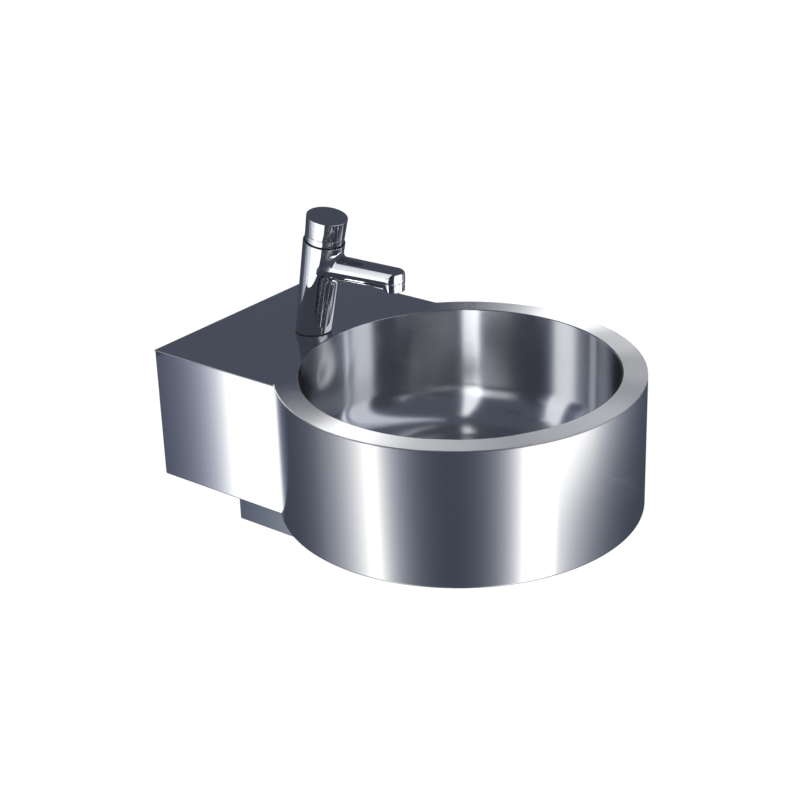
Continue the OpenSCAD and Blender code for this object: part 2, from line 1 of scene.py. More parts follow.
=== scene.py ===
# Wall-hung steel basin with a self-closing push tap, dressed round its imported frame.
# Sizes are millimetres in the frame's own axes, and mesh points become metres when a piece is made.
import json
from math import acos, atan2, ceil, cos, degrees, floor, pi, radians, sin, sqrt, tan, tau

import bmesh
import bpy
import numpy as np
from mathutils import Matrix, Vector
from mathutils.geometry import tessellate_polygon


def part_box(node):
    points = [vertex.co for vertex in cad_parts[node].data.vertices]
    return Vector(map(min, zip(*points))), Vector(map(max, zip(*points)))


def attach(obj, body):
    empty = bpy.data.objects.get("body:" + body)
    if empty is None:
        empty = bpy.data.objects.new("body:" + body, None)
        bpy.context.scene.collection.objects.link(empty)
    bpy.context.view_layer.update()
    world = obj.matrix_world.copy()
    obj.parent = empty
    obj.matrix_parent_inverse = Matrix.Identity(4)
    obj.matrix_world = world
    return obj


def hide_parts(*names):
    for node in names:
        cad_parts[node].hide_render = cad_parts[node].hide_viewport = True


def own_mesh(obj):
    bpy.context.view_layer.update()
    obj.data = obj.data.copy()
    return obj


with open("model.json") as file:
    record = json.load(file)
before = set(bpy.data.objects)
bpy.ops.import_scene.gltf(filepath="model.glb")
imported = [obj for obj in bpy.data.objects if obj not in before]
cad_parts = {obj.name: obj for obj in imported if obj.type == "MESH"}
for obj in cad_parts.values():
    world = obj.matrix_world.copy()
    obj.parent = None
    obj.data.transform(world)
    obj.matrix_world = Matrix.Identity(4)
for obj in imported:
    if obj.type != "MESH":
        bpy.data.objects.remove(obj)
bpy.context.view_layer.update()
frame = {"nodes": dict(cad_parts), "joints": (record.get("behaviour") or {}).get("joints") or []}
scene = bpy.context.scene
mm = 0.001
weld = 1e-4 * mm
full = 360


def boxOf(node):
    low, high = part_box(node)
    return np.array(low) / mm, np.array(high) / mm


# Driving places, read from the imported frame
deckLow, deckHigh = boxOf("deck_plate")
rimZ = deckHigh[2]
sheet = rimZ - deckLow[2]
drumR = deckHigh[0]
drumY = deckLow[1] + drumR
bottomZ = boxOf("drum_apron")[0][2]
sideX = boxOf("right_side_panel")[1][0]
bowlLow, bowlHigh = boxOf("bowl")
openingR = bowlHigh[0]
tapY = (boxOf("base_gasket")[0][1] + boxOf("base_gasket")[1][1]) / 2
pressAxis = Vector(frame["joints"][0]["axis"])
tapLean = atan2(pressAxis.y, -pressAxis.z)
drumPlace = Matrix.Translation((0, drumY, 0))
tapPlace = Matrix.Translation((0, tapY, rimZ)) @ Matrix.Rotation(tapLean, 4, "X")
upright = Matrix.Identity(4)
alongX = Matrix(((0, 0, 1, 0), (1, 0, 0, 0), (0, 1, 0, 0), (0, 0, 0, 1)))
alongY = Matrix(((1, 0, 0, 0), (0, 0, 1, 0), (0, 1, 0, 0), (0, 0, 0, 1)))


# Nodes for shaders and geometry

class Link:
    # one output socket; arithmetic on it adds Math nodes
    def __init__(self, graph, socket):
        self.graph = graph
        self.socket = socket

    def math(self, operation, *values):
        return self.graph.add("Math", *values, operation=operation)[0]

    def between(operation, turned=False):
        def run(self, other):
            pair = (other, self) if turned else (self, other)
            return self.math(operation, *pair)
        return run

    __add__ = between("ADD")
    __radd__ = between("ADD", turned=True)
    __sub__ = between("SUBTRACT")
    __rsub__ = between("SUBTRACT", turned=True)
    __mul__ = between("MULTIPLY")
    __truediv__ = between("DIVIDE")
    atLeast = between("MAXIMUM")
    atMost = between("MINIMUM")


class Graph:
    def __init__(self, tree):
        self.tree = tree
        tree.nodes.clear()

    def add(self, kind, *values, **named):
        # values and links fill the sockets in order or by name; lower case names are the node's settings
        node = self.tree.nodes.new(kind if "Node" in kind else "ShaderNode" + kind)
        pairs = list(enumerate(values))
        for key, value in named.items():
            if key[0].islower():
                setattr(node, key, value)
            else:
                pairs.append((key.replace("_", " "), value))
        for key, value in pairs:
            if isinstance(value, Link):
                self.tree.links.new(value.socket, node.inputs[key])
            elif value is not None:
                node.inputs[key].default_value = value
        return [Link(self, s) for s in node.outputs]

    def smooth(self, value, low, high, toLow=0.0, toHigh=1.0):
        return self.add("MapRange", value, low, high, toLow, toHigh, interpolation_type="SMOOTHSTEP")[0]

    def blend(self, factor, low, high):
        mix = self.add("Mix", factor, data_type="RGBA")
        node = mix[0].socket.node
        # the node's inputs 6 and 7 are its two colours
        for key, value in ((6, low), (7, high)):
            if isinstance(value, Link):
                self.tree.links.new(value.socket, node.inputs[key])
            else:
                node.inputs[key].default_value = (*value, 1)
        return mix[2]


class Finish(Graph):
    # a material's nodes; place is the point in the object's own axes
    def __init__(self, name):
        self.material = bpy.data.materials.new(name)
        self.material.use_nodes = True
        super().__init__(self.material.node_tree)
        self.place = self.add("TexCoord")[3]

    def noise(self, scale, detail, rough, vector=None):
        return self.add("TexNoise", vector or self.place, None, scale, detail, rough)[0]

    def coat(self, tone, rough, **more):
        return self.made(self.add("BsdfPrincipled", Base_Color=tone, Roughness=rough, **more)[0])

    def made(self, shader):
        self.add("OutputMaterial", shader)
        return self.material


# Finishes

metal = 0.70
polish = dict(grainScale=2600, stretch=14, groove=0.008, cloudScale=9, wipeScale=55, smearAcross=34,
              smearAlong=5, slope=0.6, bump=0.0002, clouded=(0.52, 0.72), wiped=(0.45, 0.75),
              smeared=(0.60, 0.74), marks=0.05, grain=0.03, dull=0.93)
chromeTones = ((0.61, 0.61, 0.62), (0.57, 0.57, 0.58))
zincTones = ((0.62, 0.64, 0.67), (0.48, 0.51, 0.56))
brassTones = ((0.83, 0.62, 0.30), (0.62, 0.43, 0.20))


def grainOf(graph, across):
    # fine lines that follow the spinning or the rolling of the sheet
    x, y, z = graph.add("SeparateXYZ", graph.place)
    fromDrum = y - drumY * mm
    flat = graph.add("CombineXYZ", x, fromDrum, 0.0)[0]
    radius = graph.add("VectorMath", flat, operation="LENGTH")[1]
    line = {"round": z, "ring": radius, "spun": radius + z, "flat": x + z}[across]
    vector = graph.add("CombineXYZ", x * polish["stretch"], y * polish["stretch"],
                       line * polish["grainScale"])[0]
    fine = graph.noise(1.0, 3.0, 0.6, vector)
    return x, fromDrum, z, fine


def steelParts(graph, roughness, spread, across, colour, smears):
    # one steel shader with grain, clouds, wiped marks and faint slanting smears
    x, fromDrum, z, fine = grainOf(graph, across)
    cloud = graph.noise(polish["cloudScale"], 4.0, 0.55)
    wipe = graph.noise(polish["wipeScale"], 5.0, 0.7)
    slant = graph.add("CombineXYZ", (z + x * polish["slope"]) * polish["smearAcross"],
                      (x - z * polish["slope"]) * polish["smearAlong"], fromDrum * polish["smearAlong"])[0]
    smear = graph.noise(1.0, 4.0, 0.6, slant)
    marks = graph.smooth(cloud, *polish["clouded"]) * graph.smooth(wipe, *polish["wiped"])
    marks = marks * polish["marks"] + graph.smooth(smear, *polish["smeared"]) * smears
    tone = graph.blend(fine * 0.4 + cloud * 0.4, colour, tuple(c * polish["dull"] for c in colour))
    rough = marks + fine * polish["grain"] + (roughness - polish["grain"] / 2)
    height = graph.add("Bump", polish["groove"], polish["bump"], Height=fine)[0]
    shader = graph.add("BsdfPrincipled", Metallic=1.0, Anisotropic=spread, Anisotropic_Rotation=0.25,
                       Base_Color=tone, Roughness=rough, Normal=height)[0]
    return shader, x, fromDrum


def brushedSteel(name, roughness, spread, across="round", colour=(metal,) * 3, smears=0.05):
    graph = Finish(name)
    return graph.made(steelParts(graph, roughness, spread, across, colour, smears)[0])


def rimSteel(name, satin, mirror, deckAngle, rimAngle):
    # circular satin all round, which passes into the deck's mirror polish behind the bowl
    graph = Finish(name)
    ring, x, fromDrum = steelParts(graph, satin, 1.0, "ring", (metal,) * 3, 0.03)
    deck = steelParts(graph, mirror, 0.0, "ring", (metal,) * 3, 0.02)[0]
    off = x.math("ABSOLUTE", x.math("ARCTAN2", x, fromDrum))
    onDeck = graph.smooth(off, radians(deckAngle), radians(rimAngle), 1.0, 0.0)
    return graph.made(graph.add("MixShader", onDeck, ring, deck)[0])


def mirrorChrome(name):
    graph = Finish(name)
    film = graph.noise(60.0, 4.0, 0.6)
    spots = graph.noise(420.0, 2.0, 0.5)
    rough = 0.02 + graph.smooth(film, 0.5, 0.8) * 0.03 + graph.smooth(spots, 0.66, 0.8) * 0.04
    tone = graph.blend(film, *chromeTones)
    return graph.coat(tone, rough, Metallic=1.0)


def moulded(name, colour, roughness):
    graph = Finish(name)
    fine = graph.noise(900.0, 3.0, 0.6)
    wide = graph.noise(30.0, 3.0, 0.5)
    tone = graph.blend(wide, colour, tuple(c * 0.86 for c in colour))
    rough = roughness + (fine - 0.5) * 0.12
    height = graph.add("Bump", 0.15, 0.0003, Height=fine)[0]
    return graph.coat(tone, rough, Normal=height)


def zincPlate(name):
    graph = Finish(name)
    cells = graph.add("TexVoronoi", graph.place, None, 160.0)
    wide = graph.noise(25.0, 3.0, 0.6)
    shade = graph.add("SeparateXYZ", cells[1])[0]
    tone = graph.blend(shade * 0.5 + wide * 0.5, *zincTones)
    rough = 0.34 + shade * 0.12
    return graph.coat(tone, rough, Metallic=0.9)


def turnedBrass(name):
    graph = Finish(name)
    wide = graph.noise(70.0, 4.0, 0.6)
    fine = graph.noise(1500.0, 2.0, 0.6)
    tone = graph.blend(graph.smooth(wide, 0.35, 0.75), *brassTones)
    rough = 0.24 + fine * 0.12 + wide * 0.1
    height = graph.add("Bump", 0.08, 0.0002, Height=fine)[0]
    return graph.coat(tone, rough, Metallic=1.0, Normal=height)


finishes = {
    "rim": rimSteel("rimSteel", 0.52, 0.07, 42, 94),
    "deck": brushedSteel("deckSteel", 0.07, 0.0, "ring", smears=0.02),
    "drum": brushedSteel("drumSteel", 0.12, 0.8),
    "bowl": brushedSteel("bowlSteel", 0.15, 0.9, "spun", smears=0.03),
    "panel": brushedSteel("panelSteel", 0.12, 0.8),
    "cover": brushedSteel("coverSteel", 0.42, 0.0, "flat", colour=(0.62, 0.67, 0.74)),
    "plain": brushedSteel("millSteel", 0.4, 0.0, "flat", colour=(0.56, 0.57, 0.58)),
    "grate": brushedSteel("grateSteel", 0.2, 0.0, "ring"),
    "screw": brushedSteel("screwSteel", 0.3, 0.0, "ring", colour=(0.6, 0.61, 0.62)),
    "spindle": brushedSteel("spindleSteel", 0.22, 0.0),
    "chrome": mirrorChrome("tapChrome"),
    "zinc": zincPlate("bracketZinc"),
    "rubber": moulded("sealRubber", (0.03, 0.03, 0.032), 0.62),
    "waste": moulded("wastePlastic", (0.80, 0.80, 0.79), 0.34),
    "cartridge": moulded("cartridgePlastic", (0.82, 0.80, 0.72), 0.42),
    "brass": turnedBrass("threadBrass"),
}
print("finishes ready")


# Mesh making

def rounded(corners, step=10):
    # corners are (u, v) or (u, v, radius); a corner with a radius becomes an arc
    outline = []
    for i, corner in enumerate(corners):
        here = np.array(corner[:2], float)
        if len(corner) < 3:
            outline.append(here)
            continue
        radius = corner[2]
        before = np.array(corners[i - 1][:2]) - here
        after = np.array(corners[(i + 1) % len(corners)][:2]) - here
        before = before / np.linalg.norm(before)
        after = after / np.linalg.norm(after)
        half = acos(max(-1.0, min(1.0, before @ after))) / 2
        middle = (before + after) / np.linalg.norm(before + after)
        centre = here + middle * radius / sin(half)
        start = here + before * radius / tan(half) - centre
        end = here + after * radius / tan(half) - centre
        first = atan2(start[1], start[0])
        turn = (atan2(end[1], end[0]) - first + pi) % tau - pi
        count = max(2, ceil(abs(turn) / radians(step)))
        for k in range(count + 1):
            angle = first + turn * k / count
            outline.append(centre + radius * np.array((cos(angle), sin(angle))))
    return outline


def leftHanded(outline):
    area = sum(a[0] * b[1] - b[0] * a[1] for a, b in zip(outline, outline[1:] + outline[:1]))
    return area < 0


def circle(centre, radius, count=48, clockwise=False):
    sign = -1 if clockwise else 1
    return [np.array((centre[0] + radius * cos(sign * tau * i / count),
                      centre[1] + radius * sin(sign * tau * i / count))) for i in range(count)]


def heightAt(height, u, v):
    # a height is one number or depends on the point
    return height(u, v) if callable(height) else height


class Solid:
    # gathers points in millimetres and faces until they become one piece
    def __init__(self):
        self.points = []
        self.faces = []
        self.flat = []

    def add(self, points, faces, flat=False):
        start = len(self.points)
        self.points.extend(tuple(p) for p in points)
        self.faces.extend([start + i for i in f] for f in faces)
        self.flat.extend([flat] * len(faces))

    def cap(self, loops, height, place, upward):
        # a flat face with holes, at one height
        flatLoops = [[Vector((p[0], p[1], 0)) for p in loop] for loop in loops]
        points = [p for loop in flatLoops for p in loop]
        faces = []
        for a, b, c in tessellate_polygon(flatLoops):
            turn = (points[b] - points[a]).cross(points[c] - points[a]).z
            if abs(turn) < 1e-9:
                continue
            faces.append((a, b, c) if (turn > 0) == upward else (a, c, b))
        self.add([place @ Vector((p.x, p.y, heightAt(height, p.x, p.y))) for p in points], faces, flat=True)

    def wall(self, rings, closedRings=True, closedStack=False):
        # quads between rings of points that have the same count
        count = len(rings[0])
        points = [p for ring in rings for p in ring]
        faces = []
        last = len(rings) if closedStack else len(rings) - 1
        for r in range(last):
            below = r * count
            above = (r + 1) % len(rings) * count
            for i in range(count if closedRings else count - 1):
                j = (i + 1) % count
                faces.append((below + i, below + j, above + j, above + i))
        self.add(points, faces)

    def lathe(self, outline, place, count=144, turn=None, openEnds=False):
        # outline is a closed loop of (radius, height) turned round the place's z axis
        if leftHanded(outline):
            outline = outline[::-1]
        closed = turn is None
        first, last = turn or (0, full)
        angles = [radians(first + (last - first) * i / count) for i in range(count + (not closed))]
        rings = [[place @ Vector((r * cos(a), r * sin(a), z)) for a in angles] for r, z in outline]
        self.wall(rings, closedRings=closed, closedStack=not openEnds)
        if not closed:
            for angle, upward in ((angles[0], True), (angles[-1], False)):
                c, s = cos(angle), sin(angle)
                section = Matrix(((c, 0, s, 0), (s, 0, -c, 0), (0, 1, 0, 0), (0, 0, 0, 1)))
                self.cap([outline], 0, place @ section, upward)

    def plate(self, loopsAt, low, high, edge, place=upright, steps=4, under=True, first=0):
        # loopsAt(inset) gives the outer loop and its holes, pulled in from their edges by inset
        levels = []
        for k in range(steps + 1):
            angle = pi / 2 * k / steps
            levels.append((edge * (1 - sin(angle)), low + edge * (1 - cos(angle))))
        upper = [(inset, high - (height - low)) for inset, height in reversed(levels)]
        levels = levels + upper if under else [(0, low)] + upper
        stacks = [loopsAt(inset) for inset, height in levels]
        for which in range(first, len(stacks[0])):
            self.wall([[place @ Vector((p[0], p[1], height)) for p in loops[which]]
                       for loops, (inset, height) in zip(stacks, levels)])
        self.cap(stacks[0], low, place, upward=False)
        self.cap(stacks[-1], high, place, upward=True)

    def bar(self, outline, start, end, place=upright):
        # outline pushed along the place's z axis between two heights
        if leftHanded(outline):
            outline = outline[::-1]
        rings = [[place @ Vector((u, v, heightAt(height, u, v))) for u, v in outline]
                 for height in (start, end)]
        self.wall(rings)
        self.cap([outline], start, place, upward=False)
        self.cap([outline], end, place, upward=True)

    def piece(self, name, finish, sharp=35, turnOut=False):
        mesh = bpy.data.meshes.new(name)
        mesh.from_pydata([tuple(c * mm for c in p) for p in self.points], [], self.faces)
        for polygon, flat in zip(mesh.polygons, self.flat):
            polygon.use_smooth = not flat
        cleanMesh(mesh, turnOut)
        mesh.set_sharp_from_angle(angle=radians(sharp))
        mesh.materials.append(finishes[finish])
        piece = bpy.data.objects.new(name, mesh)
        scene.collection.objects.link(piece)
        return piece


def cleanMesh(mesh, turnOut):
    work = bmesh.new()
    work.from_mesh(mesh)
    bmesh.ops.remove_doubles(work, verts=work.verts, dist=weld)
    bmesh.ops.dissolve_degenerate(work, edges=work.edges, dist=weld)
    if turnOut:
        bmesh.ops.recalc_face_normals(work, faces=work.faces)
    work.to_mesh(mesh)
    work.free()


def settle(piece, slot, *nodes, body="basin"):
    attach(piece, body)
    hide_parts(*nodes)


# Basin top: the circular-brushed rim ring and the deck behind it
top = dict(rimEdge=0.9, deckEdge=0.7, support=0.15, step=0.75, tapHoleR=11.5, edgeSteps=5)
joinAngle = degrees(acos(sideX / drumR))


def deckArc(x):
    # where the drum's circle stands behind its middle
    return drumY + sqrt(drumR * drumR - x * x)


def makeRim():
    # the ring's outer edge is rounded on the drum's side and square where the deck joins it
    count = round(full / top["step"])
    quarter = [pi / 2 * k / top["edgeSteps"] for k in range(top["edgeSteps"] + 1)]
    flatTo = drumR - top["rimEdge"] - top["support"]
    profile = [(openingR, rimZ - sheet, None), (openingR, rimZ, None), (flatTo, rimZ, None)]
    profile += [(drumR, rimZ, angle) for angle in quarter] + [(drumR, rimZ - sheet, None)]
    rings = []
    for radius, height, angle in profile:
        ring = []
        for i in range(count):
            heading = i * top["step"]
            edge = 0 if angle is None or joinAngle <= heading <= 180 - joinAngle else top["rimEdge"]
            r = radius - edge * (1 - sin(angle or 0))
            z = height - edge * (1 - cos(angle or 0))
            turn = radians(heading)
            ring.append(drumPlace @ Vector((r * cos(turn), r * sin(turn), z)))
        rings.append(ring)
    solid = Solid()
    solid.wall(rings[::-1], closedStack=True)
    settle(solid.piece("rim_ring", "rim"), "deck_sheet", "deck_plate")


def deckLoops(inset):
    first = ceil(joinAngle / top["step"])
    last = floor((180 - joinAngle) / top["step"])
    angles = [radians(i * top["step"]) for i in range(first, last + 1)]
    arc = [np.array((drumR * cos(a), drumY + drumR * sin(a))) for a in angles]
    x = sideX - inset
    outer = [np.array((x, -inset)), np.array((-x, -inset)), np.array((-x, deckArc(sideX)))]
    outer += arc[::-1] + [np.array((x, deckArc(sideX)))]
    return [outer, circle((0, tapY), top["tapHoleR"] + inset, clockwise=True)]


def makeDeck():
    solid = Solid()
    solid.plate(deckLoops, rimZ - sheet, rimZ, top["deckEdge"], under=False)
    settle(solid.piece("deck_top", "deck"), "deck_sheet", "deck_plate")


# Drum apron and side panels: bent sheet with returns at the bottom and on the wall
apron = dict(returnWidth=15, bend=1.8, overlap=124.5, steps=420)
panel = dict(returnWidth=15, wallReturn=22, bend=1.8)


def makeApron():
    outer = drumR
    inner = drumR - sheet
    tip = drumR - apron["returnWidth"]
    outline = rounded([(outer, bottomZ, apron["bend"]), (outer, rimZ - sheet), (inner, rimZ - sheet),
                       (inner, bottomZ + sheet, apron["bend"] - sheet), (tip, bottomZ + sheet),
                       (tip, bottomZ)])
    overlapAngle = degrees(acos(apron["overlap"] / drumR))
    solid = Solid()
    solid.lathe(outline, drumPlace, apron["steps"], turn=(180 - overlapAngle, full + overlapAngle))
    settle(solid.piece("drum_wall", "drum"), "drum_sheet", "drum_apron")


def makePanel(side, name, node):
    bend = panel["bend"]
    plan = rounded([(sideX, deckArc(sideX)), (sideX, 0, bend), (sideX - panel["wallReturn"], 0),
                    (sideX - panel["wallReturn"], -sheet), (sideX - sheet, -sheet, bend - sheet),
                    (sideX - sheet, deckArc(sideX - sheet))])
    solid = Solid()
    flip = Matrix.Scale(side, 4, (1, 0, 0))
    solid.bar(plan, bottomZ + bend, rimZ - sheet)
    low = rounded([(sideX, bottomZ, bend), (sideX, bottomZ + bend), (sideX - sheet, bottomZ + bend),
                   (sideX - sheet, bottomZ + sheet, bend - sheet),
                   (sideX - panel["returnWidth"], bottomZ + sheet), (sideX - panel["returnWidth"], bottomZ)])
    solid.bar(low, -sheet, lambda u, v: deckArc(u), alongY)
    solid.points = [tuple(flip @ Vector(p)) for p in solid.points]
    if side < 0:
        solid.faces = [f[::-1] for f in solid.faces]
    settle(solid.piece(name, "panel"), "side_sheet", node)


# Spun bowl: rolled lip, deep wall, wide corner and a floor that falls to the seat
bowl = dict(sheet=1.2, lip=1.15, corner=42, floorEdge=3, seatR=36, outletR=23.9, seatDepth=3, fall=2,
            steps=288, lipStep=0.01, cornerRise=0.1, seatBend=0.8, outletEdge=0.5, underBend=1.5,
            underFold=2, cornerGap=2)


def makeBowl():
    sheetB = bowl["sheet"]
    wallR = openingR - sheetB
    seatZ = bowlLow[2] + sheetB
    lowZ = seatZ + bowl["seatDepth"]
    highZ = lowZ + bowl["fall"]
    seatR = bowl["seatR"]
    corner = bowl["corner"]
    floorR = wallR - corner - bowl["cornerGap"]
    floorZ = highZ - bowl["cornerRise"]
    inside = rounded([(openingR, rimZ - sheet), (openingR, rimZ - bowl["lipStep"]),
                      (wallR, rimZ, bowl["lip"]), (wallR, highZ, corner), (floorR, floorZ),
                      (seatR, lowZ, bowl["floorEdge"]),
                      (seatR, seatZ, bowl["seatBend"]), (bowl["outletR"], seatZ, bowl["outletEdge"]),
                      (bowl["outletR"], bowlLow[2]), (seatR + sheetB, bowlLow[2], bowl["underBend"]),
                      (seatR + sheetB, lowZ - sheetB, bowl["underFold"]), (floorR, floorZ - sheetB),
                      (openingR, highZ - sheetB, corner + sheetB)], step=4)
    solid = Solid()
    solid.lathe(inside, drumPlace, bowl["steps"])
    settle(solid.piece("bowl_shell", "bowl", sharp=50), "bowl_sheet", "bowl")


makeRim()
makeDeck()
makeApron()
makePanel(1, "side_panel_right", "right_side_panel")
makePanel(-1, "side_panel_left", "left_side_panel")
makeBowl()
print("basin sheets made")


# Waste parts seen in and under the bowl: pressed grate, cover and base screws
grate = dict(flangeR=34.5, thick=1.2, dishR=22.4, floorR=19.8, slots=8, slotW=4.5, slotAt=13.89, slotL=7.16,
             screwR=3.2, edge=0.25, bend=0.6, fold=0.5, lip=1.5, flangeLow=0.3, flangeTop=0.6, count=96,
             slotSteps=12, screwSteps=32)
cover = dict(halfW=90, flangeW=12, sheet=1.2, back=-65, bend=2.4, fold=0.6, floorIn=7, steps=72)
screwSize = dict(radius=1.9, length=7, headR=3.6, headH=2, recess=1, edge=0.55, armL=1.8, armW=0.4,
                 recessEdge=0.3, tip=0.5, sink=0.2, around=40, steps=24)


def slotLoop(angle, inset):
    # a slot with round ends that points away from the middle, clockwise because it is a hole
    half = grate["slotW"] / 2 + inset
    turn = np.array(((cos(angle), -sin(angle)), (sin(angle), cos(angle))))
    loop = []
    for end, first in ((1, -90), (-1, 90)):
        for k in range(grate["slotSteps"] + 1):
            a = radians(first + 180 * k / grate["slotSteps"])
            at = grate["slotAt"] + end * grate["slotL"] / 2
            loop.append(turn @ np.array((at + half * cos(a), half * sin(a))))
    return loop[::-1]


def grateLoops(inset):
    slots = [slotLoop(tau * i / grate["slots"], inset) for i in range(grate["slots"])]
    return [circle((0, 0), grate["floorR"], grate["count"])] + slots \
        + [circle((0, 0), grate["screwR"] + inset, grate["screwSteps"], clockwise=True)]


def makeGrate():
    g = grate
    low, high = (v[2] for v in boxOf("grate"))
    thick = g["thick"]
    inner = g["dishR"] - thick
    solid = Solid()
    solid.plate(grateLoops, low, low + thick, g["edge"], drumPlace, 3, first=1)
    outline = rounded([(g["floorR"], low), (g["dishR"], low, g["bend"] + thick),
                       (g["dishR"], high - thick, g["fold"]), (g["flangeR"], high - thick, g["flangeLow"]),
                       (g["flangeR"], high, g["flangeTop"]), (inner, high, g["lip"]),
                       (inner, low + thick, g["bend"]), (g["floorR"], low + thick)])
    solid.lathe(outline, drumPlace, g["count"], openEnds=True)
    settle(solid.piece("grate_dish", "grate", turnOut=True), "grate_steel", "grate")


def coverPath(offset):
    # half round under the bowl with straight sides to the open back
    arc = [-pi + pi * k / cover["steps"] for k in range(cover["steps"] + 1)]
    points = [(offset * cos(a), drumY + offset * sin(a)) for a in arc]
    return [(-offset, cover["back"])] + points + [(offset, cover["back"])]


def makeCover():
    low, high = (v[2] for v in boxOf("waste_cover"))
    thick = cover["sheet"]
    half = cover["halfW"]
    middle = half - cover["floorIn"]
    profile = rounded([(middle, low), (half, low, cover["bend"]), (half, high - thick, cover["fold"]),
                       (half + cover["flangeW"], high - thick), (half + cover["flangeW"], high),
                       (half - thick, high, cover["fold"] + thick),
                       (half - thick, low + thick, cover["bend"] - thick),
                       (middle, low + thick)])
    solid = Solid()
    solid.wall([[(x, y, z) for x, y in coverPath(offset)] for offset, z in profile], closedRings=False)
    solid.cap([coverPath(middle)], low, upright, upward=False)
    solid.cap([coverPath(middle)], low + thick, upright, upward=True)
    section = [tuple(p) for p in profile] + [(-p[0], p[1]) for p in reversed(profile)]
    solid.cap([section], cover["back"], alongY, upward=False)
    settle(solid.piece("cover_shell", "cover", turnOut=True), "cover_sheet", "waste_cover")


def crossLoop(inset):
    # the cross recess of a screw head, clockwise because it is a hole
    widen = inset * screwSize["recessEdge"]
    long = screwSize["armL"] + widen
    short = screwSize["armW"] + widen
    quarter = [(long, -short), (long, short), (short, short)]
    loop = []
    for k in range(4):
        c = round(cos(k * pi / 2))
        s = round(sin(k * pi / 2))
        loop += [np.array((x * c - y * s, x * s + y * c)) for x, y in quarter]
    return loop[::-1]


def makeScrewUnit():
    # head upward, its seat at z = 0
    s = screwSize
    solid = Solid()
    radius = s["radius"]
    end = -s["length"]
    solid.plate(lambda inset: [circle((0, 0), s["headR"] - inset, s["around"]), crossLoop(inset)],
                s["recess"], s["headH"], s["edge"], under=False)
    solid.bar(circle((0, 0), s["headR"], s["around"]), 0, s["recess"])
    solid.lathe([(0.0, s["sink"]), (0.0, end), (radius - s["tip"], end), (radius, end + s["tip"]),
                 (radius, s["sink"])], upright, s["steps"])
    return solid.piece("screw_unit", "screw")


def newTree(name, points, sockets):
    # a host with these points, and a tree that takes and gives geometry with the named inputs between
    mesh = bpy.data.meshes.new(name)
    mesh.from_pydata([tuple(c * mm for c in p) for p in points], [], [])
    host = bpy.data.objects.new(name, mesh)
    scene.collection.objects.link(host)
    tree = bpy.data.node_groups.new(name, "GeometryNodeTree")
    for way in ("INPUT", "OUTPUT"):
        tree.interface.new_socket("Geometry", in_out=way, socket_type="NodeSocketGeometry")
    inputs = [tree.interface.new_socket(label, in_out="INPUT", socket_type="NodeSocket" + kind).identifier
              for label, kind in sockets]
    return host, Graph(tree), inputs


def kept(host, graph, shape, finish, inputs):
    # ends the tree with the shape, runs it on the host and keeps its result as plain mesh
    real = graph.add("GeometryNodeRealizeInstances", shape)[0]
    done = graph.add("GeometryNodeSetMaterial", real, Material=finishes[finish])[0]
    graph.add("NodeGroupOutput", done)
    modifier = host.modifiers.new(host.name, "NODES")
    modifier.node_group = graph.tree
    for identifier, value in inputs.items():
        modifier[identifier] = value
    result = host.evaluated_get(bpy.context.evaluated_depsgraph_get())
    host.data = bpy.data.meshes.new_from_object(result)
    host.modifiers.clear()
    return host


def repeated(name, places, unit, finish, seed):
    # puts the unit on every place, head down and turned at random
    host, graph, (seedInput, unitInput) = newTree(name, places, (("Seed", "Int"), ("Unit", "Object")))
    given = graph.add("NodeGroupInput")
    shape = graph.add("GeometryNodeObjectInfo", given[2])
    turn = graph.add("FunctionNodeRandomValue", None, None, 0.0, tau, Seed=given[1])
    spin = graph.add("CombineXYZ", pi, 0.0, turn[1])[0]
    copies = graph.add("GeometryNodeInstanceOnPoints", given[0], Instance=shape[4], Rotation=spin)[0]
    return kept(host, graph, copies, finish, {seedInput: seed, unitInput: unit})


def aroundDrum(radius, headings, z):
    angles = [radians(a) for a in headings]
    return [(radius * cos(a), drumY + radius * sin(a), z) for a in angles]


# names, then the screw circle, its places and those of the pair further back, and the seed of their turns
screwRows = [("base_fixings", "base_screws", 165, range(-150, -29, 30), 116, -100.4, 4),
             ("cover_fixings", "cover_screws", 96, (-135, -45, 0, 180), 96, -83, 9)]


def makeScrews():
    unit = makeScrewUnit()
    seat = bottomZ
    for name, node, circleR, headings, pairX, pairY, seed in screwRows:
        seat -= cover["sheet"]
        places = aroundDrum(circleR, headings, seat) + [(side * pairX, pairY, seat) for side in (-1, 1)]
        settle(repeated(name, places, unit, "screw", seed), "screw_steel", node)
    bpy.data.objects.remove(unit)


makeGrate()
makeCover()
makeScrews()
print("waste parts made")


# Wall bracket: one strip of zinc-plated steel bent twice, with its four bolt holes
bracket = dict(halfW=95, thick=3, low=-34, flatTop=26, top=32, out=13, lipTop=46, bend=4.5, boltX=75,
               boltZ=20, boltR=4.5, boltSteps=40, lipEdge=0.4)


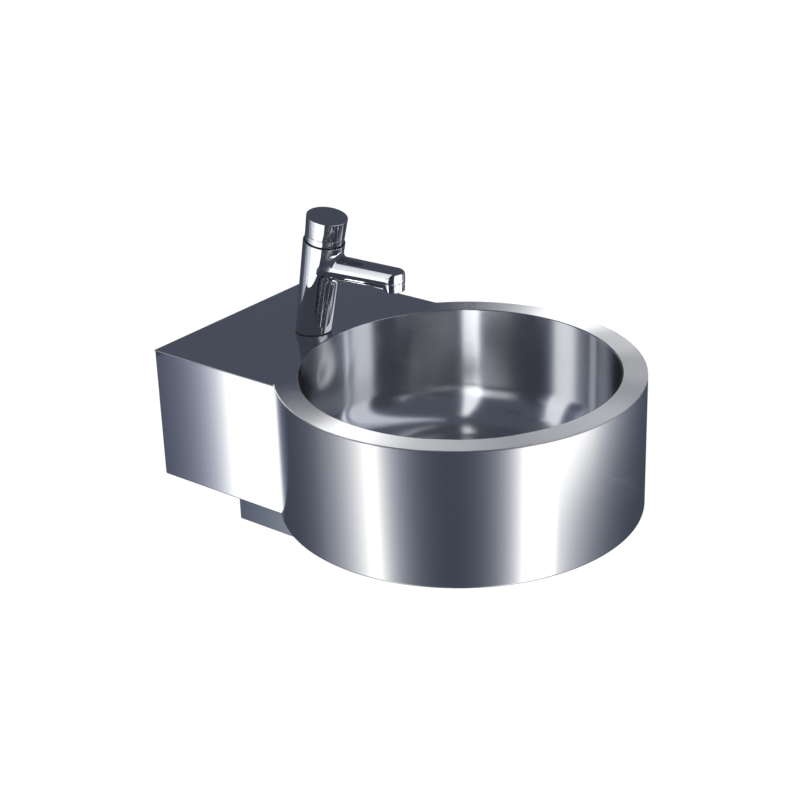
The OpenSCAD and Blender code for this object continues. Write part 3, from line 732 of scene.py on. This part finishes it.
def makeBracket():
    b = bracket
    shelf = b["top"] - b["thick"]
    inner = b["bend"] - b["thick"]
    bent = rounded([(0, b["flatTop"]), (0, b["top"], b["bend"]), (b["thick"] - b["out"], b["top"], inner),
                    (b["thick"] - b["out"], b["lipTop"], b["lipEdge"]),
                    (-b["out"], b["lipTop"], b["lipEdge"]),
                    (-b["out"], shelf, b["bend"]), (-b["thick"], shelf, inner), (-b["thick"], b["flatTop"])])
    foot = [(-b["thick"], b["low"]), (0, b["low"])]
    solid = Solid()
    for path in (bent, foot):
        solid.wall([[(x, y, z) for x in (-b["halfW"], b["halfW"])] for y, z in path], closedRings=False)
    outer = [(-b["halfW"], b["low"]), (b["halfW"], b["low"]), (b["halfW"], b["flatTop"]),
             (-b["halfW"], b["flatTop"])]
    holes = [circle((x, z), b["boltR"], b["boltSteps"], clockwise=True)
             for x in (-b["boltX"], b["boltX"]) for z in (-b["boltZ"], b["boltZ"])]
    solid.cap([outer] + holes, -b["thick"], alongY, upward=True)
    solid.cap([outer] + holes, 0, alongY, upward=False)
    for hole in holes:
        solid.wall([[(u, y, v) for u, v in hole] for y in (-b["thick"], 0)])
    for side, upward in ((-b["halfW"], False), (b["halfW"], True)):
        solid.cap([list(bent) + foot], side, alongX, upward)
    settle(solid.piece("hook_bracket", "zinc", turnOut=True), "bracket_zinc", "wall_bracket")


makeBracket()
print("bracket made")


# Tap: leaning column, spout with a rounded nose, cap, skirt and aerator
tap = dict(footR=17.8, topR=20.7, bodyTop=99.2, edge=0.7, grooveTop=100.3, grooveDeep=0.7, capLow=106.2,
           capTop=125.4, capR=19.4, capTopR=20.2, capEdge=0.9, capWall=2.6, capRoof=3.5, skirtLow=97.2,
           skirtWall=1.6, ledge=1.6, wellFloor=88.2, wellR=19.7, gasket=1, neckFillet=6.0, cell=0.8,
           rootLow=-4.0, rootIn=0.1, lowEdge=0.35, wellEdge=0.3, grooveEdge=0.2, roofBend=1.0, steps=192)
spout = dict(reach=103.6, inside=84, height=75, rise=2.3, noseR=11.0, rootR=12.5, noseEdge=7.5, noseSoft=1.2,
             jointDrop=2.8, pocketR=10.6, crease=0.35, clear=0.012, roomBelow=(9, 2, 12),
             roomAbove=(9, 4, 10))
aerator = dict(radius=10.5, show=8.6, edge=0.7, boreR=6.1, plugR=7.7, plugH=6, shoulder=0.4, steps=144)
outletY = tapY - spout["reach"]
outletZ = rimZ + spout["height"]


def columnR(u):
    return tap["footR"] + (tap["topR"] - tap["footR"]) * np.clip(u / tap["bodyTop"], 0, 1)


def softUnion(a, b, k):
    h = np.clip(0.5 + 0.5 * (b - a) / k, 0, 1)
    return b + (a - b) * h - k * h * (1 - h)


def softCut(a, b, k):
    return -softUnion(-a, -b, k)


def columnField(p):
    base = np.array((0, tapY, rimZ))
    up = np.array((0, -sin(tapLean), cos(tapLean)))
    q = p - base
    u = q @ up
    away = np.linalg.norm(q - u[..., None] * up, axis=-1)
    return away - columnR(u)


def spoutField(p):
    # a tapered bar with a rounded end, kept inside the upright nozzle in front of the outlet's axis
    rise = radians(spout["rise"])
    outlet = np.array((0, outletY, outletZ))
    back = np.array((0, cos(rise), -sin(rise)))
    q = p - outlet
    s = q @ back
    away = np.linalg.norm(q - s[..., None] * back, axis=-1)
    slope = (spout["rootR"] - spout["noseR"]) / (spout["reach"] - tap["footR"])
    radius = spout["noseR"] + slope * np.maximum(s, 0)
    edge = spout["noseEdge"]
    side = away - radius
    end = -s - spout["noseR"]
    bar = np.minimum(np.maximum(side + edge, end + edge), 0) \
        + np.hypot(np.maximum(side + edge, 0), np.maximum(end + edge, 0)) - edge
    bar = np.maximum(bar, s - spout["inside"])
    across = np.hypot(p[..., 0], p[..., 1] - outletY)
    upright = np.where(s < 0, across - spout["noseR"], -spout["noseR"])
    joint = outletZ - spout["jointDrop"]
    nozzle = np.maximum(across - spout["noseR"], np.maximum(joint - p[..., 2], p[..., 2] - outletZ))
    body = np.minimum(softCut(bar, upright, spout["noseSoft"]), nozzle)
    pocket = np.maximum(across - spout["pocketR"], p[..., 2] - joint)
    return softCut(body, -pocket, spout["crease"])


def tapField(p):
    return softUnion(columnField(p), spoutField(p), tap["neckFillet"])


def surfaceNet(field, low, high, cell):
    # one point in each cell that the surface crosses, then slid onto the surface itself
    axes = [np.arange(a, b + cell, cell) for a, b in zip(low, high)]
    grid = np.stack(np.meshgrid(*axes, indexing="ij"), -1)
    value = field(grid)
    inside = value < 0
    size = np.array(inside.shape)
    total = np.zeros(size - 1)
    places = np.zeros((*(size - 1), 3))
    corner = [slice(None, -1), slice(1, None)]
    for axis in range(3):
        for a in range(2):
            for b in range(2):
                start = [corner[a], corner[b]]
                end = [corner[a], corner[b]]
                start.insert(axis, corner[0])
                end.insert(axis, corner[1])
                start, end = tuple(start), tuple(end)
                cross = inside[start] != inside[end]
                share = value[start] / np.where(cross, value[start] - value[end], 1)
                point = grid[start] + (grid[end] - grid[start]) * share[..., None]
                places += np.where(cross[..., None], point, 0)
                total += cross
    used = total > 0
    number = np.full(used.shape, -1)
    number[used] = np.arange(used.sum())
    points = places[used] / total[used][:, None]
    step = 0.01
    leastSlope = 0.05
    for _ in range(4):
        slope = np.stack([(field(points + step * e) - field(points - step * e)) / (2 * step)
                          for e in np.eye(3)], -1)
        steep = np.maximum((slope ** 2).sum(-1), leastSlope)
        points = points - slope * (field(points) / steep)[:, None]
    faces = []
    for axis in range(3):
        j, k = (axis + 1) % 3, (axis + 2) % 3
        first = inside.take(range(size[axis] - 1), axis)
        second = inside.take(range(1, size[axis]), axis)
        at = np.argwhere(first != second)
        at = at[(at[:, j] > 0) & (at[:, j] < size[j] - 1) & (at[:, k] > 0) & (at[:, k] < size[k] - 1)]
        leaving = first[tuple(at.T)]
        quad = []
        for dj, dk in ((-1, -1), (0, -1), (0, 0), (-1, 0)):
            cellAt = at.copy()
            cellAt[:, j] += dj
            cellAt[:, k] += dk
            quad.append(number[tuple(cellAt.T)])
        quad = np.stack(quad, -1)
        quad[~leaving] = quad[~leaving][:, ::-1]
        faces.append(quad)
    return points, np.concatenate(faces)


def makeTapBody():
    noseR = spout["noseR"]
    low = np.array((-spout["rootR"], outletY - noseR, outletZ - noseR)) - spout["roomBelow"]
    high = np.array((spout["rootR"], tapY, outletZ + noseR)) + spout["roomAbove"]
    points, faces = surfaceNet(tapField, low, high, tap["cell"])
    faces = faces[(columnField(points)[faces] > spout["clear"]).any(axis=1)]
    used, renumbered = np.unique(faces, return_inverse=True)
    net = Solid()
    net.add(points[used], renumbered.reshape(faces.shape).tolist())
    settle(net.piece("tap_spout", "chrome", sharp=40), "tap_chrome", "tap_body")
    t = tap
    outline = rounded([(t["footR"] - t["rootIn"], t["rootLow"]), (t["topR"], t["bodyTop"], t["edge"]),
                       (t["wellR"], t["bodyTop"], t["wellEdge"]), (t["wellR"], t["wellFloor"]),
                       (0.0, t["wellFloor"]), (0.0, t["rootLow"])])
    column = Solid()
    column.lathe(outline, tapPlace, t["steps"])
    up = Vector((0, -sin(tapLean), cos(tapLean)))
    footZ = rimZ + t["gasket"]
    for i, point in enumerate(column.points):
        if point[2] < footZ:
            column.points[i] = tuple(Vector(point) + up * ((footZ - point[2]) / up.z))
    settle(column.piece("tap_column", "chrome", sharp=40), "tap_chrome", "tap_body")


def makeCap():
    t = tap
    radius = t["capR"]
    inner = radius - t["capWall"]
    roof = t["capTop"] - t["capRoof"]
    cap = Solid()
    outline = rounded([(0.0, t["capTop"]), (t["capTopR"], t["capTop"], t["capEdge"]),
                       (radius, t["capLow"], t["lowEdge"]), (inner, t["capLow"]),
                       (inner, roof, t["roofBend"]), (0.0, roof)])
    cap.lathe(outline, tapPlace, t["steps"])
    settle(cap.piece("cap_shell", "chrome"), "tap_chrome", "push_cap", body="cap")
    skirt = Solid()
    groove = radius - t["grooveDeep"]
    skirtR = radius - t["skirtWall"]
    ledgeR = skirtR - t["capWall"]
    ledge = t["capLow"] - t["ledge"]
    outline = rounded([(groove, t["skirtLow"]), (groove, t["grooveTop"]),
                       (radius, t["grooveTop"], t["grooveEdge"]), (radius, t["capLow"], t["lowEdge"]),
                       (ledgeR, t["capLow"]), (ledgeR, ledge), (skirtR, ledge), (skirtR, t["skirtLow"])])
    skirt.lathe(outline, tapPlace, t["steps"])
    settle(skirt.piece("cap_collar", "chrome"), "tap_chrome", "cap_skirt", body="cap")


def makeAerator():
    top = outletZ - spout["jointDrop"]
    place = Matrix.Translation((0, outletY, top - aerator["show"]))
    outline = rounded([(aerator["boreR"], 0.0), (aerator["radius"], 0.0, aerator["edge"]),
                       (aerator["radius"], aerator["show"], aerator["shoulder"]),
                       (aerator["plugR"], aerator["show"]),
                       (aerator["plugR"], aerator["show"] + aerator["plugH"]),
                       (aerator["boreR"], aerator["show"] + aerator["plugH"])])
    solid = Solid()
    solid.lathe(outline, place, aerator["steps"])
    settle(solid.piece("aerator_ring", "chrome"), "tap_chrome", "aerator_shell")


thread = dict(outerR=10.48, plainR=10.28, boreR=7.08, pitch=1.814, deep=0.85, rows=8, around=64, chamfer=1.2,
              slope=0.8, relief=0.3)
nut = dict(cornerR=17.3, boreR=10.5, chamfer=1.4, faceR=15.2, around=96)


def tapRing(z, radii):
    # one point for each radius, round the upright axis of the tap hole
    angles = [tau * i / len(radii) for i in range(len(radii))]
    return [(r * cos(a), tapY + r * sin(a), z) for r, a in zip(radii, angles)]


def makeShank():
    # a real helix on the threaded part, plain above it
    low, high = (v[2] for v in boxOf("tap_shank"))
    t = thread
    threadTop = boxOf("tap_backnut")[0][2] - t["relief"]
    rows = round((threadTop - low) / t["pitch"] * t["rows"])
    rings = []
    for k in range(rows + 1):
        z = low + (threadTop - low) * k / rows
        ends = max(0, t["chamfer"] - (z - low), t["chamfer"] - (threadTop - z))
        limit = t["outerR"] - ends * t["slope"]
        turns = [(z / t["pitch"] + i / t["around"]) % 1 for i in range(t["around"])]
        rings.append(tapRing(z, [min(limit, t["outerR"] - t["deep"] * abs(2 * turn - 1)) for turn in turns]))
    for radius, z in ((t["plainR"], threadTop + t["relief"]), (t["plainR"], high), (t["boreR"], high),
                      (t["boreR"], low)):
        rings.append(tapRing(z, [radius] * t["around"]))
    solid = Solid()
    solid.wall(rings, closedStack=True)
    settle(solid.piece("shank_thread", "brass", sharp=30), "brass_thread", "tap_shank")


def makeBacknut():
    low, high = (v[2] for v in boxOf("tap_backnut"))
    n = nut
    half = pi / 6
    angles = [tau * i / n["around"] for i in range(n["around"])]
    flats = [n["cornerR"] * cos(half) / cos((a + half) % (2 * half) - half) for a in angles]
    rings = [tapRing(z, [min(limit, flat) for flat in flats])
             for z, limit in ((low, n["faceR"]), (low + n["chamfer"], n["cornerR"]),
                              (high - n["chamfer"], n["cornerR"]), (high, n["faceR"]))]
    rings += [tapRing(z, [n["boreR"]] * n["around"]) for z in (high, low)]
    solid = Solid()
    solid.wall(rings, closedStack=True)
    settle(solid.piece("backnut_hex", "brass", sharp=25), "brass_thread", "tap_backnut")


spring = dict(radius=8.2, wire=0.75, turns=6, low=97.25, high=120.85, rows=48, sides=12)


def makeSpring():
    # the return coil inside the cap: wound by nodes along a spiral
    s = spring
    sockets = (("Turns", "Float"), ("Height", "Float"), ("Radius", "Float"), ("Wire", "Float"))
    host, graph, inputs = newTree("return_coil", (), sockets)
    shape, turns, height, radius, wireR = graph.add("NodeGroupInput")[:5]
    coil = graph.add("GeometryNodeCurveSpiral", s["rows"] * s["turns"], turns, radius, radius, height)[0]
    wire = graph.add("GeometryNodeCurvePrimitiveCircle", s["sides"], Radius=wireR)[0]
    tube = graph.add("GeometryNodeCurveToMesh", coil, wire, Fill_Caps=True)[0]
    sizes = (float(s["turns"]), (s["high"] - s["low"]) * mm, s["radius"] * mm, s["wire"] * mm)
    kept(host, graph, tube, "spindle", dict(zip(inputs, sizes)))
    foot = Matrix.Translation((0, 0, s["low"]))
    host.data.transform(Matrix.Scale(mm, 4) @ tapPlace @ foot @ Matrix.Scale(1 / mm, 4))
    settle(host, "spindle_steel", "return_spring")
    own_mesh(host)


makeTapBody()
makeCap()
makeAerator()
makeShank()
makeSpring()
makeBacknut()
print("tap made")


# Frame nodes that keep their own shape, by finish
nodeFinishes = {
    "plain": ("tap_stiffener", "hanger_rail", "base_plate"),
    "screw": ("lock_screws", "grate_screw"),
    "waste": ("waste_bend", "pipe_nut", "waste_pipe"),
    "rubber": ("grate_gasket", "bend_gasket", "pipe_seal", "base_gasket", "tap_washer", "cartridge_seals",
               "piston_seal", "valve_seal"),
    "cartridge": ("cartridge_housing", "piston", "aerator_insert"),
    "brass": ("cartridge_head",),
    "spindle": ("spindle", "valve_washer"),
}
for finish, nodes in nodeFinishes.items():
    for node in nodes:
        slots = frame["nodes"][node].data.materials
        slots.clear()
        slots.append(finishes[finish])


# Studio: softboxes for reflections only, plain soft light for the rest
studio = dict(low=0.036, high=0.062, fill=0.85, white=1.25, slant=5.5, slantAt=-27.2, slantMost=3.0,
              slantBlend=10.0, horizon=6.0, soft=(0.95, 0.97, 1.0, 1))
# azimuth, half width and fall on either side in degrees, strength
softboxes = [(160, 1.5, 17, 9.5, 1.25), (270, 14.5, 9, 17, 1.25)]
# powers that turn a grey into red, green and blue
steelShares = (1.0, 0.955, 0.84)


def steelTone(graph, level):
    # polished steel turns the studio's greys a little blue
    grey = level.atMost(1.0)
    over = level.atLeast(1.0) / metal
    shares = (level.math("POWER", grey, share) * over for share in steelShares)
    return graph.add("CombineColor", *shares)[0]


def lobe(value, centre, half, before, after):
    away = value - centre
    fall = ((away - half) / after).atLeast((away * -1.0 - half) / before).atLeast(0.0)
    return value.math("EXPONENT", fall * -1.0)


def makeWorld():
    world = bpy.data.worlds.new("studio")
    scene.world = world
    world.use_nodes = True
    graph = Graph(world.node_tree)
    x, y, z = graph.add("SeparateXYZ", graph.add("TexCoord")[0])
    azimuth = x.math("ARCTAN2", y, x) * (180 / pi)
    elevation = z.math("ARCSINE", z.atLeast(-1.0).atMost(1.0)) * (180 / pi)
    most = studio["slantMost"]
    slant = (elevation - studio["slantAt"]).atLeast(-most).atMost(most) * studio["slant"]
    level = 0.0
    for centre, half, before, after, strength in softboxes:
        turned = x.math("WRAP", azimuth - centre, 180.0, -180.0)
        shift = slant * graph.smooth(turned, 0.0, studio["slantBlend"]) if centre > 180 else 0.0
        level = lobe(turned - shift, 0.0, half, before, after) * strength + level
    upper = graph.smooth(elevation, -studio["horizon"], studio["horizon"])
    level = (level + studio["low"]) * (1.0 - upper) + upper * studio["high"]
    glossy = graph.add("Background", steelTone(graph, level.atMost(studio["white"])), 1.0)[0]
    soft = graph.add("Background", studio["soft"], studio["fill"])[0]
    seen = graph.add("Background", (1, 1, 1, 1), 1.0)[0]
    path = graph.add("LightPath")
    lit = graph.add("MixShader", path[3], soft, glossy)[0]
    shown = graph.add("MixShader", path[0], lit, seen)[0]
    graph.add("OutputWorld", shown)


def makeCard(name, corners, across, span, strength, pieces, base=0.0):
    # a glossy-only softbox; across is the level's direction, span its start, end and soft edges
    graph = Finish(name)
    side = graph.add("VectorMath", graph.place, across, operation="DOT_PRODUCT")[1] / mm
    start, end, before, after = span
    level = lobe(side, (start + end) / 2, (end - start) / 2, before, after) * strength + base
    glow = graph.add("Emission", steelTone(graph, level), 1.0)[0]
    if pieces:
        clear = graph.add("BsdfTransparent")[0]
        glow = graph.add("AddShader", glow, clear)[0]
    finishes[name] = graph.made(glow)
    solid = Solid()
    solid.add(corners, [(0, 1, 2, 3)], flat=True)
    card = solid.piece(name, name)
    for ray in ("camera", "diffuse", "transmission", "shadow"):
        setattr(card, "visible_" + ray, False)
    if pieces:
        linked = bpy.data.collections.new(name)
        for piece in pieces:
            linked.objects.link(bpy.data.objects[piece])
        card.light_linking.receiver_collection = linked


def cornersOf(start, end, low, high):
    # an upright card between two places in plan
    return [(*start, low), (*end, low), (*end, high), (*start, high)]


# white and dim cards beside the panels
wallCard = dict(y=2, near=127, far=340, low=-320, high=46, white=219, fall=25, strength=1.1)
dimCard = dict(y=3, strength=0.165, fall=85, base=0.035, nearTop=54, farTop=-52)
# upright strips that the bowl alone mirrors: ends in plan, soft edges and strength
bowlStrips = [((105, -264), (86, -284.5), 2, 2, 0.47), ((-42, -297), (-50, -277), 2, 2, 0.8),
              ((120.5, -259), (125, -273), 2, 2, 0.63), ((130, -294), (132, -310), 4, 4, 0.16)]
stripHeights = (-140, 600)
# how many soft edges a strip's card reaches past its ends
stripReach = 5
# softboxes that only the rim mirrors: azimuth, elevation, distance, width, depth, strength
rimBoxes = [(86, 54, 2000, 1500, 760, 4.6), (45, 54, 2000, 1050, 760, 3.1),
            (-10, 50, 2000, 2800, 1700, 0.75), (14, 15, 2000, 1000, 520, 1.7), (69, 27, 2000, 860, 800, 2.3)]
rimSoft = dict(margin=240, edge=60)
# cards beside the tap, lit up to the place called white
tapCard = dict(x=-600, start=-380, end=1500, low=-500, high=110, white=-150, fall=480, base=0.27)
spoutCard = dict(x=-600, start=150, end=1500, low=-500, high=1000, white=150, fall=600, base=0.2)
sideStrength = 0.85
noseCard = dict(plan=((-50, -245), (74, -300)), heights=(60, 160), strength=1.1)
# an unlit card that gives the nozzle its black band
flag = dict(plan=((-21, -197), (-25, -214)), heights=(113, 152), strength=0.03)
# level ends that lie past the cards, and their soft edge, which isn't seen
beyond = 999
far = 9999
hard = 9


def makeWallCards():
    c = wallCard
    d = dimCard
    for side, name in ((-1, "side_panel_left"), (1, "side_panel_right")):
        lit = cornersOf((side * c["near"], c["y"]), (side * c["far"], c["y"]), c["low"], c["high"])
        dim = cornersOf((side * c["near"], d["y"]), (side * c["far"], d["y"]), c["low"], d["nearTop"])
        dim[2] = (side * c["far"], d["y"], d["farTop"])
        away = (side, 0, 0)
        litSpan = (c["white"], beyond, c["fall"], hard)
        dimSpan = (c["far"], beyond, d["fall"], hard)
        makeCard("card_" + name, lit, away, litSpan, c["strength"], [name])
        makeCard("card_dim_" + name, dim, away, dimSpan, d["strength"], [], d["base"])


def makeBowlCards():
    for i, (start, end, before, after, strength) in enumerate(bowlStrips):
        start = Vector(start)
        end = Vector(end)
        along = (end - start).normalized()
        reach = along * stripReach
        corners = cornersOf(start - reach * before, end + reach * after, *stripHeights)
        span = (start @ along, end @ along, before, after)
        makeCard("card_bowl_%d" % i, corners, (*along, 0), span, strength, ["bowl_shell"])


def makeRimCards():
    edge = rimSoft["edge"]
    for i, (azimuth, elevation, distance, width, depth, strength) in enumerate(rimBoxes):
        turn = radians(azimuth)
        tilt = radians(elevation)
        out = Vector((cos(turn) * cos(tilt), sin(turn) * cos(tilt), sin(tilt)))
        side = Vector((-sin(turn), cos(turn), 0))
        back = out.cross(side)
        middle = Vector((0, drumY, rimZ)) + out * distance
        corners = [middle + side * a * width / 2 + back * b * depth / 2
                   for a, b in ((-1, -1), (1, -1), (1, 1), (-1, 1))]
        inner = width / 2 - rimSoft["margin"]
        span = (middle @ side - inner, middle @ side + inner, edge, edge)
        makeCard("card_rim_%d" % i, corners, side, span, strength, ["rim_ring"])


def makeTapCards():
    tapPieces = ["tap_column", "cap_shell", "cap_collar", "aerator_ring"]
    for name, c, pieces in (("card_tap", tapCard, tapPieces), ("card_spout", spoutCard, ["tap_spout"])):
        corners = cornersOf((c["x"], c["start"]), (c["x"], c["end"]), c["low"], c["high"])
        span = (-far, c["white"], hard, c["fall"])
        makeCard(name, corners, (0, 1, 0), span, sideStrength, pieces, c["base"])
    for name, c, pieces in (("card_flag", flag, []), ("card_nose", noseCard, ["tap_spout", "aerator_ring"])):
        corners = cornersOf(*c["plan"], *c["heights"])
        makeCard(name, corners, (1, 0, 0), (-far, far, hard, hard), c["strength"], pieces)


ground = dict(z=-850, half=9000, shade=0.3, glow=0.78, plain=0.8)
lamp = dict(place=(-1.2, -1.4, 1.9), aim=(0, -0.25, 0), width=1.6, height=1.2, power=14)


def makeFloor():
    half = ground["half"]
    solid = Solid()
    corners = [(a * half, b * half, ground["z"]) for a, b in ((-1, -1), (1, -1), (1, 1), (-1, 1))]
    solid.add(corners, [(0, 1, 2, 3)], flat=True)
    graph = Finish("paleFloor")
    diffuse = graph.add("BsdfDiffuse", (*(ground["shade"],) * 3, 1))[0]
    glow = graph.add("Emission", (1, 1, 1, 1), ground["glow"])[0]
    both = graph.add("AddShader", diffuse, glow)[0]
    path = graph.add("LightPath")
    plain = graph.add("BsdfDiffuse", (*(ground["plain"],) * 3, 1))[0]
    finishes["floor"] = graph.made(graph.add("MixShader", path[0], plain, both)[0])
    piece = solid.piece("floor", "floor")
    piece.visible_glossy = False


def makeLamp():
    light = bpy.data.lights.new("softbox", "AREA")
    light.shape = "RECTANGLE"
    light.size = lamp["width"]
    light.size_y = lamp["height"]
    light.energy = lamp["power"]
    softbox = bpy.data.objects.new("softbox", light)
    softbox.location = lamp["place"]
    aim = Vector(lamp["aim"]) - softbox.location
    softbox.rotation_euler = aim.to_track_quat("-Z", "Y").to_euler()
    softbox.visible_glossy = False
    scene.collection.objects.link(softbox)


camera = dict(place=(-1.26458, -1.20519, 0.73520), azimuth=-51.59, elevation=24.34, roll=-1.84, lens=82.22,
              sensor=36)


def makeCamera():
    azimuth, elevation, roll = (radians(camera[k]) for k in ("azimuth", "elevation", "roll"))
    lens = bpy.data.cameras.new("photoView")
    lens.lens = camera["lens"]
    lens.sensor_width = camera["sensor"]
    view = bpy.data.objects.new("photoView", lens)
    heading = Matrix.Rotation(azimuth, 4, "Z") @ Matrix.Rotation(pi / 2 - elevation, 4, "X")
    view.matrix_world = Matrix.Translation(camera["place"]) @ heading @ Matrix.Rotation(roll, 4, "Z")
    scene.collection.objects.link(view)
    scene.camera = view


makeWorld()
makeFloor()
makeWallCards()
makeBowlCards()
makeRimCards()
makeTapCards()
makeLamp()
makeCamera()
scene.view_settings.view_transform = "Standard"
print("studio ready")
